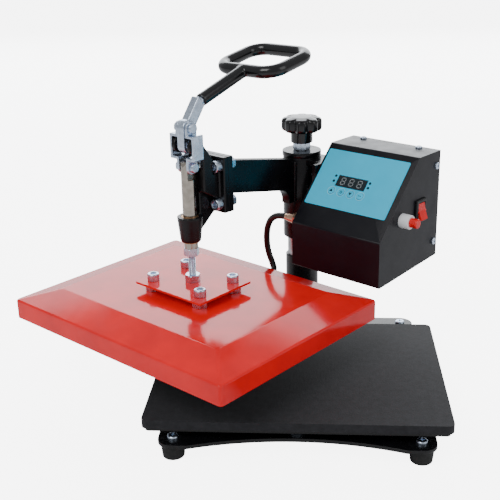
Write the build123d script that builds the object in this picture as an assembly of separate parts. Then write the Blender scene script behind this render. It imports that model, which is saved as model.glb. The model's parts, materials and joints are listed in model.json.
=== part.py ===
from build123d import *
import os
from math import cos, radians, sin, sqrt, tan

# Swing-away heat press, 230 x 300 mm size class, built as an assembly.
# Millimetres, +Z up, -Y is the front. The origin is the centre of the top face of the silicone pad.
# Everything carried by the swinging arm is drawn in the arm's own frame, with the post axis at its
# origin and the platen towards -Y, and then turned to the swung-open rest position by on_arm().

os.makedirs("parts", exist_ok=True)

# ---- driving dimensions -------------------------------------------------------------------------
PAD = (305, 229, 9)             # silicone pad: width, depth, thickness
LOWER_PLATE_T = 4               # steel plate under the pad
LOWER_PLATE_INSET = 3
BASE_TOP = -22                  # top of the base plate
BASE_T = 4
EAR_X = 122                     # ear and foot centres
EAR_FRONT = -108
EAR_REAR = 165
EAR_R = 15
FOOT_H = 16
REACH = 192                     # post axis to platen centre
OPEN_ANGLE = -37.4              # rest position of the arm about the post

BASE_TUBE_D = 40
SHAFT_D = 35
SLEEVE_D = 45
BASE_TUBE_TOP = 62
SLEEVE_Z = (86, 188)
CAP_T = 6
FIT = 0.05                      # radial clearance of a running fit

COVER = (316, 250)              # upper platen cover
COVER_RIM_Z = 62
COVER_SIDE = 21.5
COVER_PANEL = (240, 176)
COVER_PANEL_Z = 73.5
SHEET_T = 1.5
HEAT_PLATE_T = 11.5
TRAVEL = 37.5                   # stroke of the upper platen

ROD_D = 15
STUD_D = 8
MOUNT_PLATE = (100, 80, 2.5)
MOUNT_PLATE_TOP = 84.5
SCREW_X = 36
SCREW_Y = 25.5

PIVOT_Z = 237.5                 # handle fulcrum
CRANK = TRAVEL / 2              # fulcrum to link pivot
ROD_PIN_Z = 214.5               # link to plunger pivot
PIN_D = 8
LEVER_HALF = 5                  # half thickness of the lever and of the rod's tongue
LINK_X = (5.3, 8.3)             # narrow part of a link plate
LINK_WIDE_X = (14.5, 17.5)      # part of it that passes outside the cheeks
CHEEK_X = (9, 14)

HANDLE_TILT = 10.5              # rise of the handle loop, degrees
LOOP = (80, 69)                 # loop, centre line: width, depth
BAR_D = 10
GRIP_D = 14

BOX_X = (41, 161)               # control box, left and right sides
BOX_TOP_Y = (4.6, 48.7)
BOX_FRONT_Y = -69.4
BOX_Z = (82.5, 128.8, 207.6)    # bottom at the rear, foot of the slope, top
BOX_DROP = 6.5                  # fall of the bottom towards the front

AXIS_Y = -REACH                 # plunger axis in the arm's frame


# ---- helpers ------------------------------------------------------------------------------------
def on_arm(shape):
    """Move a shape from the arm's own frame to the swung-open rest position."""
    return Pos(0, REACH, 0) * Rot(0, 0, OPEN_ANGLE) * shape


def save(name, shape):
    export_step(shape, f"parts/{name}.step")


def save_on_arm(name, shape):
    save(name, on_arm(shape))


def group(solids):
    return Compound(children=[part.solid() if len(part.solids()) == 1 else part for part in solids])


def block(x, y, z):
    """Box from its two limits along each axis."""
    size = (x[1] - x[0], y[1] - y[0], z[1] - z[0])
    middle = Pos((x[0] + x[1]) / 2, (y[0] + y[1]) / 2, (z[0] + z[1]) / 2)
    return middle * Box(*size)


def rod(d, z, x=0, y=0):
    """Upright cylinder between two heights."""
    return Pos(x, y, (z[0] + z[1]) / 2) * Cylinder(d / 2, z[1] - z[0])


def tube(d_out, d_in, z, x=0, y=0):
    return rod(d_out, z, x, y) - rod(d_in, (z[0] - 1, z[1] + 1), x, y)


def cross_rod(d, x, y, z):
    """Cylinder along X."""
    return Pos((x[0] + x[1]) / 2, y, z) * Rot(0, 90, 0) * Cylinder(d / 2, x[1] - x[0])


def along_y(d, y, x, z):
    """Cylinder along Y."""
    return Pos(x, (y[0] + y[1]) / 2, z) * Rot(90, 0, 0) * Cylinder(d / 2, y[1] - y[0])


def hex_bar(across_flats, z, x=0, y=0, bore=0):
    """Hexagon between two heights, chamfered round its ends, with an optional bore."""
    height = z[1] - z[0]
    corner_r = across_flats / sqrt(3)
    prism = extrude(RegularPolygon(corner_r, 6), height)
    turned = chamfer(Cylinder(corner_r, height).edges().filter_by(GeomType.CIRCLE), corner_r * 0.1)
    nut = prism & (Pos(0, 0, height / 2) * turned)
    if bore:
        nut -= Pos(0, 0, height / 2) * Cylinder(bore / 2, height + 2)
    return Pos(x, y, z[0]) * nut


def side_profile(points, x):
    """Prism along X of an outline given as (y, z) points."""
    outline = make_face(Polyline(*points, close=True))
    return Pos(x[0], 0, 0) * extrude(Plane.YZ * outline, x[1] - x[0])


def socket_screw(head_d, head_h, shank_d, shank_l, socket):
    """Cap screw standing on the XY plane: head above it, shank below."""
    head = Pos(0, 0, head_h / 2) * Cylinder(head_d / 2, head_h)
    head = chamfer(head.edges().filter_by(GeomType.CIRCLE).sort_by(Axis.Z)[-1], head_h * 0.08)
    head -= Pos(0, 0, head_h * 0.45) * extrude(RegularPolygon(socket / sqrt(3), 6), head_h)
    return head + Pos(0, 0, -shank_l / 2) * Cylinder(shank_d / 2, shank_l)


def pan_screw(head_d, head_h, shank_d, shank_l):
    """Pan head screw standing on the XY plane, with a cross recess."""
    head = Pos(0, 0, head_h / 2) * Cylinder(head_d / 2, head_h)
    head = fillet(head.edges().filter_by(GeomType.CIRCLE).sort_by(Axis.Z)[-1], head_h * 0.6)
    arm_l = head_d * 0.5
    for turn in (0, 90):
        head -= Pos(0, 0, head_h) * Rot(0, 0, turn) * Box(arm_l, head_d * 0.12, head_h)
    return head + Pos(0, 0, -shank_l / 2) * Cylinder(shank_d / 2, shank_l)


# ---- base ---------------------------------------------------------------------------------------
EARS = [(x, y) for x in (-EAR_X, EAR_X) for y in (EAR_FRONT, EAR_REAR)]
BASE_BOLTS = [(0, -90), (0, 90), (-108, 0), (108, 0)]
BASE_Z = (BASE_TOP - BASE_T, BASE_TOP)
LOWER_PLATE_Z = (-PAD[2] - LOWER_PLATE_T, -PAD[2])
TONGUE_HALF = 42
TONGUE_END = REACH + 28


def hollow_edge(half_chord, sagitta, level, turn):
    """Disc that cuts a shallow concave arc into a straight edge at y = level before turning."""
    radius = (half_chord ** 2 + sagitta ** 2) / (2 * sagitta)
    return Rot(0, 0, turn) * Pos(0, level + sagitta - radius, 0) * Circle(radius)


def base_plate():
    """Plate with a rounded ear at each corner, concave edges and a tongue under the post."""
    depth = EAR_REAR - EAR_FRONT + 2 * EAR_R
    middle = (EAR_REAR + EAR_FRONT) / 2
    outline = Pos(0, middle) * RectangleRounded(2 * (EAR_X + EAR_R), depth, EAR_R - 0.1)
    outline -= hollow_edge(EAR_X - EAR_R, 17, EAR_FRONT - EAR_R, 0)
    side = Pos(0, middle) * hollow_edge((EAR_REAR - EAR_FRONT) / 2 - EAR_R, 20, -EAR_X - EAR_R, 90)
    outline -= side
    outline -= mirror(side, about=Plane.YZ)
    tongue = Pos(0, (EAR_REAR - 40 + TONGUE_END) / 2)
    outline += tongue * RectangleRounded(2 * TONGUE_HALF, TONGUE_END - EAR_REAR + 40, 14)
    plate = Pos(0, 0, BASE_Z[0]) * extrude(outline, BASE_T)
    for x, y in EARS:
        plate -= rod(6.4, (BASE_Z[0] - 1, BASE_TOP + 1), x, y)
    for x, y in BASE_BOLTS:
        plate -= rod(6.4, (BASE_Z[0] - 1, BASE_TOP + 1), x, y)
    return plate


def rubber_foot():
    """Tapered foot hung below z = 0, with a counterbore for its screw's nut."""
    foot = Pos(0, 0, -FOOT_H) * extrude(Circle(11), FOOT_H, taper=-6)
    foot = fillet(foot.edges().filter_by(GeomType.CIRCLE).sort_by(Axis.Z)[0], 1.5)
    foot -= rod(6.2, (-FOOT_H - 1, 1))
    return foot - rod(13, (-FOOT_H - 1, -FOOT_H + 6))


def foot_screw():
    """Pan head screw through the plate and the foot, with its nut in the foot's counterbore."""
    bottom = -BASE_T - FOOT_H
    return pan_screw(11.5, 3.4, 6, -bottom - 1) + hex_bar(10, (bottom + 1, bottom + 6))


def platen_bolt():
    """Hex bolt from below, through the base plate and a spacer into the lower plate."""
    top = LOWER_PLATE_Z[1] - 0.5
    return hex_bar(10, (BASE_Z[0] - 4, BASE_Z[0])) + rod(6, (BASE_Z[0], top))


def lower_platen_plate():
    size = [side - 2 * LOWER_PLATE_INSET for side in PAD[:2]]
    plate = Pos(0, 0, LOWER_PLATE_Z[0]) * extrude(RectangleRounded(*size, 5), LOWER_PLATE_T)
    for x, y in BASE_BOLTS:
        plate -= rod(6, (LOWER_PLATE_Z[0] - 1, LOWER_PLATE_Z[1] - 0.5), x, y)
    return plate


def silicone_pad():
    return Pos(0, 0, -PAD[2]) * extrude(RectangleRounded(PAD[0], PAD[1], 7), PAD[2])


def make_base():
    save("base_plate", base_plate())
    feet = [Pos(x, y, BASE_Z[0]) * rubber_foot() for x, y in EARS]
    save("rubber_feet", group(feet))
    save("foot_screws", group([Pos(x, y, BASE_TOP) * foot_screw() for x, y in EARS]))
    save("lower_platen_plate", lower_platen_plate())
    save("silicone_pad", silicone_pad())
    gap = (BASE_TOP, LOWER_PLATE_Z[0])
    save("platen_spacers", group([tube(16, 6.4, gap, x, y) for x, y in BASE_BOLTS]))
    save("platen_bolts", group([Pos(x, y, 0) * platen_bolt() for x, y in BASE_BOLTS]))


# ---- post ---------------------------------------------------------------------------------------
CAP_Z = (SLEEVE_Z[1], SLEEVE_Z[1] + CAP_T)
SHAFT_TOP = SLEEVE_Z[1] - 0.3
KNOB_STUD_D = 12
STUD_NUT_Z = (CAP_Z[1] + 0.3, CAP_Z[1] + 9)
HUB_Z = (STUD_NUT_Z[1] + 0.3, 217)
KNOB_Z = (217, 235)
KNOB_R = 24.5


def post_base_tube():
    """Tube welded to the base plate, with its weld bead."""
    post = rod(BASE_TUBE_D, (BASE_TOP, BASE_TUBE_TOP))
    post = chamfer(post.edges().filter_by(GeomType.CIRCLE).sort_by(Axis.Z)[-1], 1.2)
    bead = Pos(0, 0, BASE_TOP + 2.5) * Cone(BASE_TUBE_D / 2 + 5, BASE_TUBE_D / 2, 5)
    return post + bead - rod(SHAFT_D, (BASE_TOP - 1, BASE_TUBE_TOP + 1))


def post_shaft():
    """Turned shaft, tapped at the top for the knob's stud."""
    shaft = rod(SHAFT_D, (BASE_TOP, SHAFT_TOP))
    shaft = chamfer(shaft.edges().filter_by(GeomType.CIRCLE).sort_by(Axis.Z)[-1], 1)
    return shaft - rod(KNOB_STUD_D, (SHAFT_TOP - 22, SHAFT_TOP + 1))


def lock_knob():
    """Star knob: a domed head with eight lobes on a round hub, bored for its stud."""
    head = rod(2 * KNOB_R, KNOB_Z)
    head = fillet(head.edges().filter_by(GeomType.CIRCLE), 3)
    for index in range(8):
        turn = Rot(0, 0, 45 * index)
        head -= turn * rod(11, (KNOB_Z[0] - 1, KNOB_Z[1] + 1), KNOB_R + 2.6, 0)
    dome = Pos(0, 0, KNOB_Z[1] - 75) * Sphere(75.6)
    head &= dome
    hub = rod(26, HUB_Z)
    return head + hub - rod(KNOB_STUD_D + 2 * FIT, (HUB_Z[0] - 1, KNOB_Z[1] - 5))


def make_post():
    post = Pos(0, REACH, 0)
    save("post_base_tube", post * post_base_tube())
    save("post_shaft", post * post_shaft())
    save("knob_stud", post * rod(KNOB_STUD_D, (SHAFT_TOP - 22, KNOB_Z[1] - 7)))
    save("stud_nut", post * hex_bar(18, STUD_NUT_Z, bore=KNOB_STUD_D))
    save("lock_knob", post * lock_knob())


# ---- arm ----------------------------------------------------------------------------------------
BUSH_D = 40
ARM_HALF = 6
ARM_FRONT = -145
END_PLATE_T = 7
FLANGE_T = 7
FLANGE_HALF = 21
FLANGE_Z = (158, 220)
FLANGE_FRONT = ARM_FRONT - END_PLATE_T - FLANGE_T
FLANGE_BOLTS = [(x, z) for x in (-13, 13) for z in (168, 210)]
FLANGE_HOLE_D = 8.4
FLANGE_HEAD = (13, 8)           # bolt head: diameter, height
FLANGE_NUT_AF = 13
BRACKET_PLATE_X = (36, BOX_X[0])
BRACKET_BOLTS = [(y, z) for y in (-19, 25) for z in (148, 174)]


def sleeve():
    """Swinging sleeve with the weld bead of the arm round its top."""
    body = tube(SLEEVE_D, BUSH_D, SLEEVE_Z)
    return chamfer(body.edges().filter_by(GeomType.CIRCLE).sort_by(Axis.Z)[0], 0.8)


def sleeve_bushes():
    spans = [(SLEEVE_Z[0], SLEEVE_Z[0] + 25), (SLEEVE_Z[1] - 25, SLEEVE_Z[1])]
    return group([tube(BUSH_D, SHAFT_D + 2 * FIT, span) for span in spans])


def swing_arm():
    """Deep arm plate, cut to the sleeve, with its welded end plate."""
    outline = [(ARM_FRONT, 212.3), (-14, 185.6), (-14, 134), (-31, 134), (-31, 150.6), (ARM_FRONT, 174.5)]
    plate = side_profile(outline, (-ARM_HALF, ARM_HALF))
    inner = [edge for edge in plate.edges().filter_by(Axis.X)
             if abs(edge.center().Y + 31) < 0.1 and abs(edge.center().Z - 150.6) < 0.1]
    plate = fillet(inner, 16)
    plate -= rod(SLEEVE_D, (100, 230))
    end_y = (ARM_FRONT - END_PLATE_T, ARM_FRONT)
    end_plate = block((-FLANGE_HALF, FLANGE_HALF), end_y, FLANGE_Z)
    for x, z in FLANGE_BOLTS:
        end_plate -= along_y(FLANGE_HOLE_D, (end_y[0] - 1, end_y[1] + 1), x, z)
    return plate + end_plate


def box_bracket():
    """Welded bracket from the sleeve to the left wall of the control box."""
    shelf = block((10, BRACKET_PLATE_X[0]), (-14, 20), (180, 186))
    web = block((10, BRACKET_PLATE_X[0]), (-3, 3), (140, 180))
    plate = block(BRACKET_PLATE_X, (-26, 32), (138, 186))
    for y, z in BRACKET_BOLTS:
        plate -= cross_rod(5, (BRACKET_PLATE_X[0] - 1, BRACKET_PLATE_X[1] + 1), y, z)
    return shelf + web + plate - rod(SLEEVE_D, (100, 230))


def flange_bolt():
    """M8 cap screw along Y, head to the front."""
    screw = socket_screw(*FLANGE_HEAD, 8, END_PLATE_T + FLANGE_T + 9, 6)
    return Rot(90, 0, 0) * screw


def flange_nut():
    """M8 nut along Y with its flats to the sides, clear of the arm plate."""
    return Rot(-90, 0, 0) * Rot(0, 0, 30) * hex_bar(FLANGE_NUT_AF, (0, 6.5), bore=8)


def make_arm():
    save_on_arm("sleeve", sleeve())
    save_on_arm("sleeve_bushes", sleeve_bushes())
    cap = tube(SLEEVE_D + 1.5, KNOB_STUD_D + 2 * FIT, CAP_Z)
    save_on_arm("sleeve_cap", cap)
    save_on_arm("swing_arm", swing_arm())
    save_on_arm("box_bracket", box_bracket())
    bolts = [Pos(x, FLANGE_FRONT, z) * flange_bolt() for x, z in FLANGE_BOLTS]
    save_on_arm("flange_bolts", group(bolts))
    nuts = [Pos(x, ARM_FRONT, z) * flange_nut() for x, z in FLANGE_BOLTS]
    save_on_arm("flange_nuts", group(nuts))


# ---- toggle head --------------------------------------------------------------------------------
EAR_OUT_R = 9
EAR_SHOULDER = (5.9, 6.8)        # where the cheek's sloping top edge leaves the ear
BARREL_Z = (131, 160)
BARREL_BORE = 19
SPINE_FRONT = AXIS_Y + 9.5


def toggle_body():
    """Casting: bolted flange, barrel for the plunger, spine and two cheeks with the fulcrum ears."""
    flange_y = (FLANGE_FRONT, FLANGE_FRONT + FLANGE_T)
    body = block((-FLANGE_HALF, FLANGE_HALF), flange_y, FLANGE_Z)
    rear = FLANGE_FRONT + 1
    spine = [(rear, 205), (rear, 160), (AXIS_Y, 134), (AXIS_Y, 158), (SPINE_FRONT, 162),
             (SPINE_FRONT, 212), (rear, 212)]
    body += side_profile(spine, (-CHEEK_X[0] + 3, CHEEK_X[0] - 3))
    barrel = Pos(0, AXIS_Y, BARREL_Z[0]) * extrude(Circle(11), BARREL_Z[1] - BARREL_Z[0], taper=-5.9)
    body += fillet(barrel.edges().filter_by(GeomType.CIRCLE).sort_by(Axis.Z)[0], 3)
    cheek = [(AXIS_Y, PIVOT_Z), (AXIS_Y + EAR_SHOULDER[0], PIVOT_Z + EAR_SHOULDER[1]), (rear, 206), (rear, 172),
             (SPINE_FRONT, 186), (SPINE_FRONT, PIVOT_Z - EAR_OUT_R), (AXIS_Y, PIVOT_Z - EAR_OUT_R)]
    for side in (-1, 1):
        x = sorted((side * CHEEK_X[0], side * CHEEK_X[1]))
        web_x = sorted((side * (CHEEK_X[0] - 4), side * CHEEK_X[1]))
        body += side_profile(cheek, x) + cross_rod(2 * EAR_OUT_R, x, AXIS_Y, PIVOT_Z)
        body += block(web_x, (SPINE_FRONT, rear), (186, 212))
    pocket_y = (FLANGE_FRONT - FLANGE_HEAD[1] - 1, FLANGE_FRONT)
    for x, z in FLANGE_BOLTS:
        body -= along_y(FLANGE_HOLE_D, (flange_y[0] - 1, flange_y[1] + 1), x, z)
        body -= along_y(FLANGE_HEAD[0] + 1, pocket_y, x, z)
    body -= rod(BARREL_BORE, (BARREL_Z[0] - 1, BARREL_Z[1] + 1), 0, AXIS_Y)
    body -= rod(ROD_D + 1.5, (BARREL_Z[1] - 1, 230), 0, AXIS_Y)
    return body - cross_rod(PIN_D, (-20, 20), AXIS_Y, PIVOT_Z)


def make_toggle():
    save_on_arm("toggle_body", toggle_body())
    save_on_arm("fulcrum_pin", cross_rod(PIN_D, (-CHEEK_X[1], CHEEK_X[1]), AXIS_Y, PIVOT_Z))
    bush = tube(BARREL_BORE, ROD_D + 2 * FIT, BARREL_Z, 0, AXIS_Y)
    save_on_arm("plunger_bush", bush)


# ---- handle -------------------------------------------------------------------------------------
ELBOW = (AXIS_Y + 18.5, 279)                # (y, z) of the bend at the top of the lever
LOOP_NEAR = (AXIS_Y + 92, 302.5)            # middle of the loop's near side
LOOP_R = 19
LINK_PIN_Z = PIVOT_Z + CRANK


def loop_plane():
    """Plane of the handle loop: X across, Y along the handle, origin at the loop's near side."""
    return Plane(origin=(0, *LOOP_NEAR), x_dir=(1, 0, 0),
                 z_dir=(0, -sin(radians(HANDLE_TILT)), cos(radians(HANDLE_TILT))))


def handle_run(d, reach_back):
    """Stem and closed loop of the handle in round section d, joined where they meet."""
    plane = loop_plane()
    corners = [(-LOOP[0] / 2, 0), (LOOP[0] / 2, 0), (LOOP[0] / 2, LOOP[1]), (-LOOP[0] / 2, LOOP[1])]
    line = FilletPolyline(*[plane.from_local_coords((x, y, 0)) for x, y in corners],
                          radius=LOOP_R, close=True)
    loop = sweep(Plane(line @ 0, z_dir=line % 0) * Circle(d / 2), path=line)
    start = Vector(0, *ELBOW)
    end = Vector(0, *LOOP_NEAR)
    direction = (end - start).normalized()
    begin = start - direction * reach_back
    stem = extrude(Plane(begin, z_dir=direction) * Circle(d / 2), (end - begin).length)
    return loop + stem


def handle_lever():
    """Flat lever from the fulcrum to the elbow, with a boss round each pivot."""
    x = (-LEVER_HALF, LEVER_HALF)
    half = 6.5
    lever = cross_rod(17, x, AXIS_Y, PIVOT_Z) + cross_rod(17, x, AXIS_Y, LINK_PIN_Z)
    lever += block(x, (AXIS_Y - 8.5, AXIS_Y + 8.5), (PIVOT_Z, LINK_PIN_Z))
    foot = (AXIS_Y + 1.5, LINK_PIN_Z)
    lean = Vector(0, ELBOW[0] - foot[0], ELBOW[1] - foot[1]).normalized()
    across = Vector(0, lean.Z, -lean.Y) * half
    tip = Vector(0, *ELBOW) + lean * 4
    low = Vector(0, *foot)
    outline = [low - across, low + across, tip + across, tip - across]
    lever += side_profile([(point.Y, point.Z) for point in outline], x)
    lever -= cross_rod(PIN_D + 2 * FIT, (-10, 10), AXIS_Y, PIVOT_Z)
    lever -= cross_rod(PIN_D, (-10, 10), AXIS_Y, LINK_PIN_Z)
    return lever


def link_bolt():
    """Shouldered bolt through the lever and both links: round head right, nut left."""
    x = LINK_X[1] + 0.2
    shank = cross_rod(PIN_D, (-x, x), AXIS_Y, LINK_PIN_Z)
    head = cross_rod(11, (x, x + 3.5), AXIS_Y, LINK_PIN_Z)
    head = fillet(head.edges().filter_by(GeomType.CIRCLE).sort_by(Axis.X)[-1], 1.5)
    nut = Pos(-x, AXIS_Y, LINK_PIN_Z) * Rot(0, -90, 0) * hex_bar(10, (0, 4))
    return shank + head + nut


def make_handle():
    lever = handle_lever()
    bar = handle_run(BAR_D, -2)
    grip = handle_run(GRIP_D, -5) - handle_run(BAR_D, 30)
    save_on_arm("handle_lever", lever - handle_run(BAR_D, -2))
    save_on_arm("handle_bar", bar)
    save_on_arm("handle_grip", grip - lever)
    save_on_arm("link_pivot_bolt", link_bolt())


# ---- link ---------------------------------------------------------------------------------------
LINK_HALF = 7.5
JOGGLE_TOP = (LINK_PIN_Z - 9.4, LINK_PIN_Z - 6.6)
JOGGLE_BACK = 1                 # the upper step stops here, so that it passes round the ear
JOGGLE_LOW = (PIVOT_Z - EAR_OUT_R - 5.5, PIVOT_Z - EAR_OUT_R - 2.5)


def link_plate(side):
    """One link: narrow at both pivots and stepped outwards where it passes the cheek."""
    near = sorted(side * value for value in LINK_X)
    wide = sorted(side * value for value in LINK_WIDE_X)
    step = sorted((side * LINK_X[0], side * LINK_WIDE_X[1]))
    width = (AXIS_Y - LINK_HALF, AXIS_Y + LINK_HALF)
    plate = block(near, width, (JOGGLE_TOP[0], LINK_PIN_Z)) + cross_rod(15, near, AXIS_Y, LINK_PIN_Z)
    plate += block(near, width, (ROD_PIN_Z, JOGGLE_LOW[1])) + cross_rod(15, near, AXIS_Y, ROD_PIN_Z)
    plate += block(wide, width, (JOGGLE_LOW[0], JOGGLE_TOP[1]))
    plate += block(step, (width[0], AXIS_Y + JOGGLE_BACK), JOGGLE_TOP) + block(step, width, JOGGLE_LOW)
    plate -= cross_rod(PIN_D + 2 * FIT, (-20, 20), AXIS_Y, LINK_PIN_Z)
    return plate - cross_rod(PIN_D, (-20, 20), AXIS_Y, ROD_PIN_Z)


def link_end_bolt(side):
    """Head or nut end of the lower link bolt, filling the link's own hole."""
    x = sorted((side * LINK_X[0], side * LINK_X[1]))
    end = cross_rod(PIN_D, x, AXIS_Y, ROD_PIN_Z)
    out = sorted((side * LINK_X[1], side * (LINK_X[1] + 4)))
    if side > 0:
        head = cross_rod(11, out, AXIS_Y, ROD_PIN_Z)
        return end + fillet(head.edges().filter_by(GeomType.CIRCLE).sort_by(Axis.X)[-1], 1.5)
    return end + Pos(-LINK_X[1], AXIS_Y, ROD_PIN_Z) * Rot(0, -90, 0) * hex_bar(11, (0, 4))


def make_link():
    save_on_arm("link_plates", group([link_plate(side) for side in (-1, 1)]))
    save_on_arm("link_end_bolts", group([link_end_bolt(side) for side in (-1, 1)]))


# ---- plunger and upper platen -------------------------------------------------------------------
ROD_Z = (124, ROD_PIN_Z + 7.5)
TONGUE_Z = ROD_PIN_Z - 14
NUT_H = 8.5
JAM_NUT_Z = (ROD_Z[0] - NUT_H, ROD_Z[0])
PLATE_NUT_Z = (MOUNT_PLATE_TOP, MOUNT_PLATE_TOP + NUT_H)
HEAT_Z = (COVER_RIM_Z - COVER_SIDE - 2, COVER_RIM_Z - COVER_SIDE - 2 + HEAT_PLATE_T)
ELEMENT_D = 8
SCREWS = [(x, AXIS_Y + y) for x in (-SCREW_X, SCREW_X) for y in (-SCREW_Y, SCREW_Y)]
SCREW_DEPTH = 8


def plunger_rod():
    """Round rod, flattened at the top between the links and tapped below for the stud."""
    bar = rod(ROD_D, ROD_Z, 0, AXIS_Y)
    for side in (-1, 1):
        flat = sorted((side * LEVER_HALF, side * ROD_D))
        bar -= block(flat, (AXIS_Y - ROD_D, AXIS_Y + ROD_D), (TONGUE_Z, ROD_Z[1] + 1))
    crown = cross_rod(ROD_D, (-ROD_D, ROD_D), AXIS_Y, ROD_PIN_Z)
    bar &= crown + block((-ROD_D, ROD_D), (AXIS_Y - ROD_D, AXIS_Y + ROD_D), (ROD_Z[0], ROD_PIN_Z))
    bar -= cross_rod(PIN_D, (-20, 20), AXIS_Y, ROD_PIN_Z)
    return bar - rod(STUD_D, (ROD_Z[0] - 1, ROD_Z[0] + 18), 0, AXIS_Y)


def mounting_plate():
    plate = Pos(0, AXIS_Y, MOUNT_PLATE_TOP - MOUNT_PLATE[2]) * extrude(
        RectangleRounded(MOUNT_PLATE[0], MOUNT_PLATE[1], 2), MOUNT_PLATE[2])
    for x, y in SCREWS:
        plate -= rod(8, (60, 100), x, y)
    return plate - rod(STUD_D, (60, 100), 0, AXIS_Y)


def pyramid(size, z0, top_size, z1):
    """Frustum between a lower and an upper rectangle."""
    return loft([Pos(0, AXIS_Y, z0) * Rectangle(*size), Pos(0, AXIS_Y, z1) * Rectangle(*top_size)])


def cover_solid(shrink):
    """Outer form of the cover, or its inner form when shrunk by the sheet thickness."""
    size = [side - 2 * shrink for side in COVER]
    panel = [side - 2 * shrink for side in COVER_PANEL]
    bottom = COVER_RIM_Z - COVER_SIDE - (1 if shrink else 0)
    rim = COVER_RIM_Z - shrink
    skirt = block((-size[0] / 2, size[0] / 2), (AXIS_Y - size[1] / 2, AXIS_Y + size[1] / 2), (bottom, rim))
    return skirt + pyramid(size, rim, panel, COVER_PANEL_Z - shrink)


def platen_cover():
    shell = cover_solid(0)
    upright = [edge for edge in shell.edges().filter_by(Axis.Z)]
    shell = fillet(upright, 3) - cover_solid(SHEET_T)
    for x, y in SCREWS:
        shell -= rod(8, (60, 100), x, y)
    rear = AXIS_Y + COVER[1] / 2
    return shell - along_y(GROMMET_D, (rear - 5, rear + 5), GROMMET_X, GROMMET_Z)


def heating_element():
    """Tubular element: four long runs joined by end bends, half sunk in the plate."""
    pitch = 50
    reach = 118
    rows = [AXIS_Y + offset * pitch for offset in (-1.6, -0.9, 0.9, 1.6)]
    points = [(-reach, rows[0]), (reach, rows[0]), (reach, rows[1]), (-reach, rows[1]),
              (-reach, rows[2]), (reach, rows[2]), (reach, rows[3]), (-reach, rows[3])]
    line = FilletPolyline(*[(x, y, HEAT_Z[1]) for x, y in points], radius=16)
    return sweep(Plane(line @ 0, z_dir=line % 0) * Circle(ELEMENT_D / 2), path=line)


def heat_plate(element):
    size = (COVER[0] - 8, COVER[1] - 8)
    plate = Pos(0, AXIS_Y, HEAT_Z[0]) * extrude(RectangleRounded(*size, 4), HEAT_PLATE_T)
    for x, y in SCREWS:
        plate -= rod(8, (HEAT_Z[1] - SCREW_DEPTH, HEAT_Z[1] + 1), x, y)
    plate -= rod(SENSOR_D, (HEAT_Z[1] - 5, HEAT_Z[1] + 1), SENSOR_X, AXIS_Y)
    return plate - element


SENSOR_D = 6
SENSOR_X = 62
BOARD_Z = (55, 59.5)
GROMMET_X = -1.5
GROMMET_Z = 51.5
GROMMET_D = 10
GROMMET_OUT = 4


def insulation_board():
    """Glass-fibre board between the element and the cover."""
    half = (142, 108)
    board = block((-half[0], half[0]), (AXIS_Y - half[1], AXIS_Y + half[1]), BOARD_Z)
    for x, y in SCREWS:
        board -= rod(9, (50, 70), x, y)
    return board


def cover_grommet():
    rear = AXIS_Y + COVER[1] / 2
    ring = along_y(GROMMET_D + 4, (rear, rear + GROMMET_OUT), GROMMET_X, GROMMET_Z)
    ring = chamfer(ring.edges().filter_by(GeomType.CIRCLE).sort_by(Axis.Y)[-1], 1)
    ring += along_y(GROMMET_D, (rear - SHEET_T, rear), GROMMET_X, GROMMET_Z)
    return ring


def make_platen():
    save_on_arm("plunger_rod", plunger_rod())
    save_on_arm("plunger_pin", cross_rod(PIN_D, (-LEVER_HALF, LEVER_HALF), AXIS_Y, ROD_PIN_Z))
    stud = rod(STUD_D, (MOUNT_PLATE_TOP - MOUNT_PLATE[2], ROD_Z[0] + 18), 0, AXIS_Y)
    save_on_arm("threaded_stud", stud)
    nuts = [hex_bar(15, span, 0, AXIS_Y, bore=STUD_D) for span in (JAM_NUT_Z, PLATE_NUT_Z)]
    save_on_arm("stud_nuts", group(nuts))
    save_on_arm("mounting_plate", mounting_plate())
    length = MOUNT_PLATE_TOP - HEAT_Z[1] + SCREW_DEPTH
    screws = [Pos(x, y, MOUNT_PLATE_TOP) * socket_screw(13, 8.5, 8, length, 6) for x, y in SCREWS]
    save_on_arm("plate_screws", group(screws))
    nut_z = (COVER_PANEL_Z, MOUNT_PLATE_TOP - MOUNT_PLATE[2])
    save_on_arm("standoff_nuts", group([hex_bar(16, nut_z, x, y, bore=8) for x, y in SCREWS]))
    save_on_arm("platen_cover", platen_cover())
    element = heating_element()
    save_on_arm("heating_element", element)
    save_on_arm("heat_plate", heat_plate(element))
    save_on_arm("insulation_board", insulation_board())
    sensor = rod(SENSOR_D, (HEAT_Z[1] - 5, BOARD_Z[0]), SENSOR_X, AXIS_Y)
    save_on_arm("temperature_sensor", sensor)
    save_on_arm("cover_grommet", cover_grommet())


# ---- control box --------------------------------------------------------------------------------
SLOPE_L = sqrt((BOX_TOP_Y[0] - BOX_FRONT_Y) ** 2 + (BOX_Z[2] - BOX_Z[1]) ** 2)
SLOPE_N = (0, -(BOX_Z[2] - BOX_Z[1]) / SLOPE_L, (BOX_TOP_Y[0] - BOX_FRONT_Y) / SLOPE_L)
STICKER = (3, 113, 8, 81)                   # left, right, top, bottom on the slope
STICKER_T = 0.5
WINDOW = (33.5, 71, 40, 52)
BUTTON_S = 59.7
BUTTONS = {"up": 31.2, "shift": 44.4, "down": 57.3, "set": 70.5}
BUTTON_D = 8.4
BUTTON_OUT = 1.4
BUTTON_TRAVEL = 0.6
LEDS = [(28.5, 40.8), (28.4, 47.5), (75.5, 42), (75.5, 48)]
LED_D = 3
BREAKER = (-27, 144)                        # (y, z) on the right wall
ROCKER = (9, 146)
ROCKER_BEZEL = (20, 27)
GLAND = (-57, 128)                          # (y, z) on the left wall
INLET = (101, 110)                          # (x, z) on the rear panel
INLET_SIZE = (31, 24)


def slope_plane():
    """Plane of the sloping face: X to the right, Y up the slope, origin at its top left corner."""
    return Plane(origin=(BOX_X[0], BOX_TOP_Y[0], BOX_Z[2]), x_dir=(1, 0, 0), z_dir=SLOPE_N)


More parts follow.
